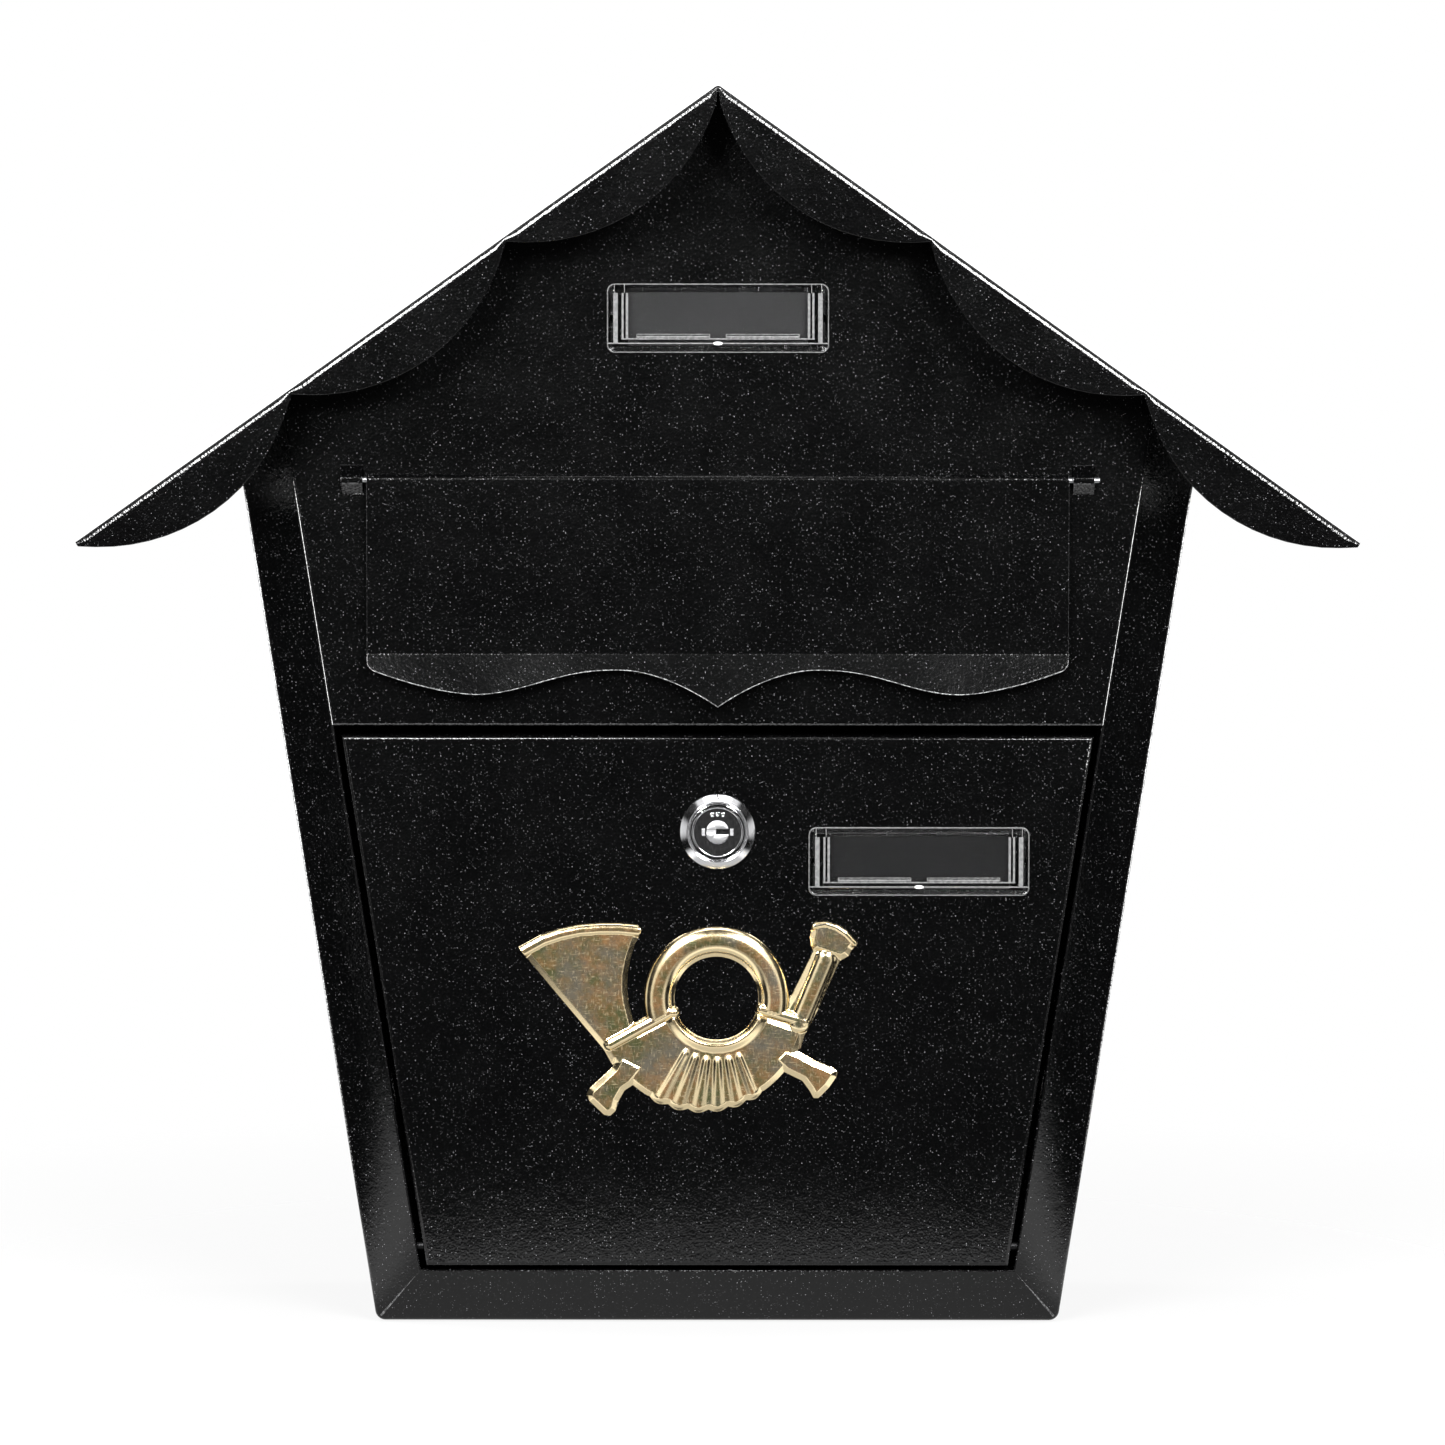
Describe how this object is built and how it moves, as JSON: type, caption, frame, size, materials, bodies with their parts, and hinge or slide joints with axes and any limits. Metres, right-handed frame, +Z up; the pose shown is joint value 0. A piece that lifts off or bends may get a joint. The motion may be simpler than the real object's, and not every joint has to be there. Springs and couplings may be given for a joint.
{
  "type": "wall mounted mailbox",
  "caption": "House-shaped steel wall mailbox: scalloped gable roof, hinged letter flap, lockable drop-down door, name plates and post-horn emblem.",
  "frame": {"origin": "on the wall face of the back panel, in the middle of its four screw holes, 210 mm below the roof's apex", "axes": "+X to the right seen from the front, +Y into the wall, +Z up; the front faces -Y"},
  "size_m": [0.37, 0.108, 0.3633],
  "materials": {
    "black_powder_coat": "black powder coat with a fine silver sparkle and light orange peel",
    "chrome_plate": "polished chrome",
    "zinc_plate": "bright zinc plate",
    "gold_plate": "pale gold, satin",
    "clear_plastic": "clear moulded plastic",
    "dark_card": "dark blank card"
  },
  "bodies": {
    "housing": {"roof": "black_powder_coat", "body_shell": "black_powder_coat", "back_panel": "black_powder_coat", "front_panel": "black_powder_coat", "upper_nameplate_cover": "clear_plastic", "upper_nameplate_insert": "dark_card"},
    "flap": {"flap": "black_powder_coat", "flap_hinge_rod": "zinc_plate"},
    "door": {"door": "black_powder_coat", "door_hinge_pin_left": "zinc_plate", "door_hinge_pin_right": "zinc_plate", "lock_housing": "chrome_plate", "lock_nut": "zinc_plate", "emblem": "gold_plate", "emblem_clip_left": "zinc_plate", "emblem_clip_right": "zinc_plate", "lower_nameplate_cover": "clear_plastic", "lower_nameplate_insert": "dark_card"},
    "lock_core": {"lock_plug": "chrome_plate", "lock_tumbler_1": "zinc_plate", "lock_tumbler_2": "zinc_plate", "lock_tumbler_3": "zinc_plate", "lock_tumbler_4": "zinc_plate", "lock_cam": "zinc_plate", "lock_cam_washer": "zinc_plate", "lock_cam_screw": "zinc_plate"}
  },
  "joints": [
    {"name": "flap_hinge", "type": "hinge", "parent": "housing", "child": "flap", "pos_m": [0, -0.0861, 0.0951], "axis": [-1, 0, 0], "range_deg": [0, 110]},
    {"name": "door_hinge", "type": "hinge", "parent": "housing", "child": "door", "pos_m": [0, -0.0804, -0.1302], "axis": [1, 0, 0], "range_deg": [0, 90]},
    {"name": "lock_turn", "type": "hinge", "parent": "door", "child": "lock_core", "pos_m": [0, -0.084, -0.0076], "axis": [0, 1, 0], "range_deg": [-90, 0]}
  ]
}
